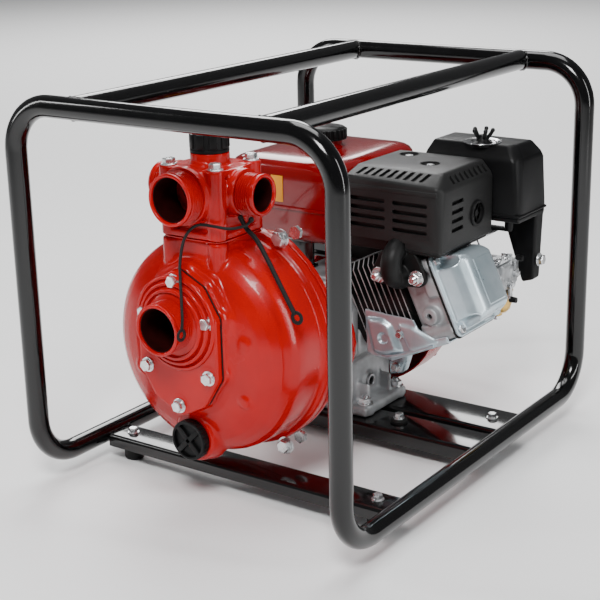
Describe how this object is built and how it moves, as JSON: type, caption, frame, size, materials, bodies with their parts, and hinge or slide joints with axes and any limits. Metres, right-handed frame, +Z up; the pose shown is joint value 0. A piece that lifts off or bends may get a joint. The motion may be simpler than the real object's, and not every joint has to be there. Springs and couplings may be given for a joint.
{
  "type": "centrifugal water pump",
  "caption": "Petrol-engine centrifugal water pump in a black tubular carrying cage, with red pump casing, threaded ports, tethers and recoil starter.",
  "frame": {"origin": "on the floor under the middle of the cage, at the height of the feet's undersides", "axes": "+X across the cage towards the cylinder head, +Y from the pump face towards the recoil starter, +Z up"},
  "size_m": [0.457, 0.5958, 0.4785],
  "materials": {
    "frame_black": "gloss",
    "zinc": "bright zinc",
    "steel": "machined",
    "pump_red": "gloss",
    "tank_red": "high gloss",
    "rubber": "matte",
    "black_plastic": "satin",
    "cast_aluminium": "as cast",
    "fin_black": "satin",
    "zinc_blue": "blue passivated zinc",
    "brass": "turned",
    "filter_foam": "open foam",
    "gasket": "matte"
  },
  "bodies": {
    "frame": {"front_hoop": "frame_black", "rear_hoop": "frame_black", "top_rail_left": "frame_black", "top_rail_right": "frame_black", "front_crossmember": "frame_black", "engine_crossmember_front": "frame_black", "engine_crossmember_rear": "frame_black", "tank_bracket": "frame_black", "foot_front_left": "rubber", "foot_front_right": "rubber", "foot_rear_left": "rubber", "foot_rear_right": "rubber", "strap_front": "rubber", "strap_right": "rubber", "strap_left": "rubber", "shaft_seal": "rubber", "pump_casing": "pump_red", "suction_cover": "pump_red", "outlet_manifold": "pump_red", "pump_adapter": "pump_red", "blower_housing": "pump_red", "recoil_cover": "pump_red", "cover_gasket": "gasket", "manifold_gasket": "gasket", "switch_box": "black_plastic", "air_cleaner_base": "black_plastic", "muffler_guard": "black_plastic", "inner_volute": "cast_aluminium", "engine_block": "cast_aluminium", "crankcase_cover": "cast_aluminium", "cylinder_head": "cast_aluminium", "valve_cover": "zinc_blue", "cylinder_shroud": "zinc_blue", "spark_plug": "zinc", "carburetor": "zinc", "control_bracket": "zinc", "muffler": "steel", "fuel_tank_upper": "tank_red", "fuel_tank_lower": "tank_red", "exhaust_elbow": "fin_black", "fuel_bowl": "brass", "air_filter": "filter_foam"},
    "rotor": {"crankshaft": "steel", "flywheel": "cast_aluminium", "impeller": "cast_aluminium"},
    "piston": {"piston": "cast_aluminium"},
    "check_flap": {"check_valve_flap": "rubber"},
    "priming_cap": {"priming_cap": "black_plastic"},
    "drain_plug": {"drain_plug": "black_plastic"},
    "fuel_cap": {"fuel_cap": "black_plastic"},
    "cleaner_cover": {"air_cleaner_cover": "black_plastic"},
    "wing_nut": {"wing_nut": "black_plastic"},
    "choke": {"choke_lever": "zinc"},
    "fuel_valve": {"fuel_valve_lever": "zinc"},
    "throttle": {"throttle_lever": "black_plastic"},
    "grip": {"starter_grip": "black_plastic"},
    "pulley": {"starter_pulley": "black_plastic"},
    "switch": {"engine_switch": "tank_red"},
    "dipstick": {"oil_dipstick": "black_plastic"}
  },
  "joints": [
    {"name": "rotor_spin", "type": "hinge", "parent": "frame", "child": "rotor", "pos_m": [-0.03, 0, 0.139], "axis": [0, 1, 0], "continuous": true},
    {"name": "piston_stroke", "type": "slide", "parent": "frame", "child": "piston", "axis": [0.9063, 0, 0.4226], "range_m": [-0.054, 0]},
    {"name": "check_flap_swing", "type": "hinge", "parent": "frame", "child": "check_flap", "pos_m": [-0.03, -0.2285, 0.2585], "axis": [1, 0, 0], "range_deg": [0, 50]},
    {"name": "priming_cap_lift", "type": "slide", "parent": "frame", "child": "priming_cap", "axis": [0, 0, 1], "range_m": [0, 0.02]},
    {"name": "drain_plug_pull", "type": "slide", "parent": "frame", "child": "drain_plug", "axis": [0, -1, 0], "range_m": [0, 0.035]},
    {"name": "fuel_cap_lift", "type": "slide", "parent": "frame", "child": "fuel_cap", "axis": [0, 0, 1], "range_m": [0, 0.04]},
    {"name": "cleaner_cover_lift", "type": "slide", "parent": "frame", "child": "cleaner_cover", "axis": [0, 0, 1], "range_m": [0, 0.045]},
    {"name": "wing_nut_turn", "type": "hinge", "parent": "cleaner_cover", "child": "wing_nut", "pos_m": [0.131, 0.172, 0.38], "axis": [0, 0, 1], "continuous": true},
    {"name": "choke_turn", "type": "hinge", "parent": "frame", "child": "choke", "pos_m": [0.17, 0.19, 0.208], "axis": [1, 0, 0], "range_deg": [0, 60]},
    {"name": "fuel_valve_turn", "type": "hinge", "parent": "frame", "child": "fuel_valve", "pos_m": [0.17, 0.175, 0.196], "axis": [1, 0, 0], "range_deg": [0, 45]},
    {"name": "throttle_turn", "type": "hinge", "parent": "frame", "child": "throttle", "pos_m": [0.124, 0.176, 0.268], "axis": [0, 0, 1], "range_deg": [-20, 25]},
    {"name": "grip_pull", "type": "slide", "parent": "frame", "child": "grip", "axis": [-0.9397, 0, 0.342], "range_m": [0, 0.1]},
    {"name": "pulley_turn", "type": "hinge", "parent": "frame", "child": "pulley", "pos_m": [-0.03, 0.238, 0.139], "axis": [0, -1, 0], "range_deg": [0, 150]},
    {"name": "switch_turn", "type": "hinge", "parent": "frame", "child": "switch", "pos_m": [-0.15, 0.189, 0.21], "axis": [1, 0, 0], "range_deg": [0, 60]},
    {"name": "dipstick_pull", "type": "slide", "parent": "frame", "child": "dipstick", "axis": [-1, 0, 0], "range_m": [0, 0.05]}
  ],
  "couplings": [
    {"joint": "pulley_turn", "follows": "grip_pull", "rad_per_m": 24.8}
  ]
}
